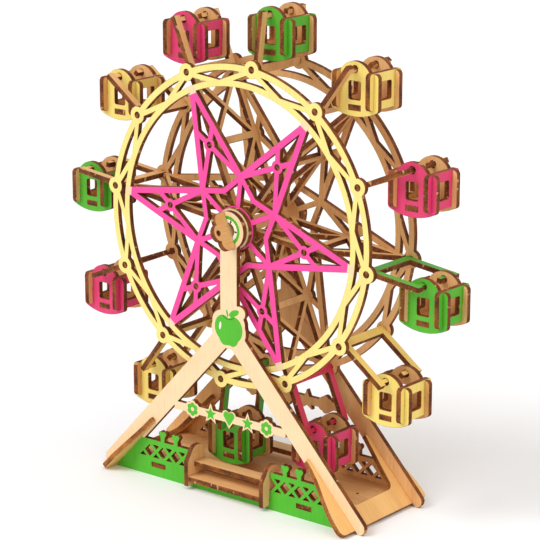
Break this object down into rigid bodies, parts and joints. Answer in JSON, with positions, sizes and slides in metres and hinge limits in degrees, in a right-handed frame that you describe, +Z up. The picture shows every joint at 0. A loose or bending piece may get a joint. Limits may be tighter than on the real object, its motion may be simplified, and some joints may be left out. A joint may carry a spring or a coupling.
{
  "type": "crank ferris wheel toy",
  "caption": "Plywood ferris wheel toy: a frame with steps and ramps carries a painted wheel with a crank knob and cabins that stay upright.",
  "frame": {"origin": "on the ground below the hub, half way between the crank knob's tip and the rear feet", "axes": "+Z up, the wheel turns about Y, the painted front faces -Y"},
  "size_m": [0.2678, 0.081, 0.2787],
  "materials": {
    "bare_wood": "laser-cut birch plywood",
    "front_frame": "laser-cut birch plywood, painted on its show face",
    "front_wheel": "laser-cut birch plywood, painted on its show face",
    "green_cabin": "laser-cut birch plywood, painted on its show face",
    "green_hangers": "laser-cut birch plywood, painted on its show face",
    "magenta_cabin": "laser-cut birch plywood, painted on its show face",
    "magenta_hangers": "laser-cut birch plywood, painted on its show face",
    "painted_spacer": "laser-cut birch plywood, painted on its show face",
    "ramp_wood": "laser-cut birch plywood",
    "yellow_cabin": "laser-cut birch plywood, painted on its show face",
    "yellow_hangers": "laser-cut birch plywood, painted on its show face"
  },
  "bodies": {
    "stand": {"front_frame": "front_frame", "rear_frame": "bare_wood", "deck": "bare_wood", "left_ramp": "ramp_wood", "right_ramp": "ramp_wood", "front_left_cheek": "bare_wood", "front_right_cheek": "bare_wood", "front_lower_tread": "bare_wood", "front_upper_tread": "bare_wood", "rear_left_cheek": "bare_wood", "rear_right_cheek": "bare_wood", "rear_lower_tread": "bare_wood", "rear_upper_tread": "bare_wood"},
    "wheel": {"front_wheel": "front_wheel", "rear_wheel": "bare_wood", "crank_axle": "bare_wood", "front_spacer": "painted_spacer", "rear_spacer": "bare_wood", "rear_cap": "bare_wood", "star_spreaders": "bare_wood", "magenta_hangers": "magenta_hangers", "green_hangers": "green_hangers", "yellow_hangers": "yellow_hangers"},
    "gondola_01": {"gondola_01_faces": "magenta_cabin", "gondola_01_sides": "magenta_cabin", "gondola_01_floor": "magenta_cabin"},
    "gondola_02": {"gondola_02_faces": "green_cabin", "gondola_02_sides": "green_cabin", "gondola_02_floor": "green_cabin"},
    "gondola_03": {"gondola_03_faces": "yellow_cabin", "gondola_03_sides": "yellow_cabin", "gondola_03_floor": "yellow_cabin"},
    "gondola_04": {"gondola_04_faces": "magenta_cabin", "gondola_04_sides": "magenta_cabin", "gondola_04_floor": "magenta_cabin"},
    "gondola_05": {"gondola_05_faces": "green_cabin", "gondola_05_sides": "green_cabin", "gondola_05_floor": "green_cabin"},
    "gondola_06": {"gondola_06_faces": "yellow_cabin", "gondola_06_sides": "yellow_cabin", "gondola_06_floor": "yellow_cabin"},
    "gondola_07": {"gondola_07_faces": "magenta_cabin", "gondola_07_sides": "magenta_cabin", "gondola_07_floor": "magenta_cabin"},
    "gondola_08": {"gondola_08_faces": "green_cabin", "gondola_08_sides": "green_cabin", "gondola_08_floor": "green_cabin"},
    "gondola_09": {"gondola_09_faces": "yellow_cabin", "gondola_09_sides": "yellow_cabin", "gondola_09_floor": "yellow_cabin"},
    "gondola_10": {"gondola_10_faces": "magenta_cabin", "gondola_10_sides": "magenta_cabin", "gondola_10_floor": "magenta_cabin"},
    "gondola_11": {"gondola_11_faces": "green_cabin", "gondola_11_sides": "green_cabin", "gondola_11_floor": "green_cabin"},
    "gondola_12": {"gondola_12_faces": "yellow_cabin", "gondola_12_sides": "yellow_cabin", "gondola_12_floor": "yellow_cabin"}
  },
  "joints": [
    {"name": "wheel_spin", "type": "hinge", "parent": "stand", "child": "wheel", "pos_m": [0, 0.00103, 0.156], "axis": [0, 1, 0], "continuous": true},
    {"name": "gondola_01_swing", "type": "hinge", "parent": "wheel", "child": "gondola_01", "pos_m": [-0.04623, 0.00103, 0.26598], "axis": [0, 1, 0], "continuous": true},
    {"name": "gondola_02_swing", "type": "hinge", "parent": "wheel", "child": "gondola_02", "pos_m": [0.01495, 0.00103, 0.27436], "axis": [0, 1, 0], "continuous": true},
    {"name": "gondola_03_swing", "type": "hinge", "parent": "wheel", "child": "gondola_03", "pos_m": [0.07213, 0.00103, 0.25103], "axis": [0, 1, 0], "continuous": true},
    {"name": "gondola_04_swing", "type": "hinge", "parent": "wheel", "child": "gondola_04", "pos_m": [0.10998, 0.00103, 0.20223], "axis": [0, 1, 0], "continuous": true},
    {"name": "gondola_05_swing", "type": "hinge", "parent": "wheel", "child": "gondola_05", "pos_m": [0.11836, 0.00103, 0.14105], "axis": [0, 1, 0], "continuous": true},
    {"name": "gondola_06_swing", "type": "hinge", "parent": "wheel", "child": "gondola_06", "pos_m": [0.09503, 0.00103, 0.08387], "axis": [0, 1, 0], "continuous": true},
    {"name": "gondola_07_swing", "type": "hinge", "parent": "wheel", "child": "gondola_07", "pos_m": [0.04623, 0.00103, 0.04602], "axis": [0, 1, 0], "continuous": true},
    {"name": "gondola_08_swing", "type": "hinge", "parent": "wheel", "child": "gondola_08", "pos_m": [-0.01495, 0.00103, 0.03764], "axis": [0, 1, 0], "continuous": true},
    {"name": "gondola_09_swing", "type": "hinge", "parent": "wheel", "child": "gondola_09", "pos_m": [-0.07213, 0.00103, 0.06097], "axis": [0, 1, 0], "continuous": true},
    {"name": "gondola_10_swing", "type": "hinge", "parent": "wheel", "child": "gondola_10", "pos_m": [-0.10998, 0.00103, 0.10977], "axis": [0, 1, 0], "continuous": true},
    {"name": "gondola_11_swing", "type": "hinge", "parent": "wheel", "child": "gondola_11", "pos_m": [-0.11836, 0.00103, 0.17095], "axis": [0, 1, 0], "continuous": true},
    {"name": "gondola_12_swing", "type": "hinge", "parent": "wheel", "child": "gondola_12", "pos_m": [-0.09503, 0.00103, 0.22813], "axis": [0, 1, 0], "continuous": true}
  ],
  "couplings": [
    {"joint": "gondola_01_swing", "follows": "wheel_spin", "ratio": -1},
    {"joint": "gondola_02_swing", "follows": "wheel_spin", "ratio": -1},
    {"joint": "gondola_03_swing", "follows": "wheel_spin", "ratio": -1},
    {"joint": "gondola_04_swing", "follows": "wheel_spin", "ratio": -1},
    {"joint": "gondola_05_swing", "follows": "wheel_spin", "ratio": -1},
    {"joint": "gondola_06_swing", "follows": "wheel_spin", "ratio": -1},
    {"joint": "gondola_07_swing", "follows": "wheel_spin", "ratio": -1},
    {"joint": "gondola_08_swing", "follows": "wheel_spin", "ratio": -1},
    {"joint": "gondola_09_swing", "follows": "wheel_spin", "ratio": -1},
    {"joint": "gondola_10_swing", "follows": "wheel_spin", "ratio": -1},
    {"joint": "gondola_11_swing", "follows": "wheel_spin", "ratio": -1},
    {"joint": "gondola_12_swing", "follows": "wheel_spin", "ratio": -1}
  ]
}
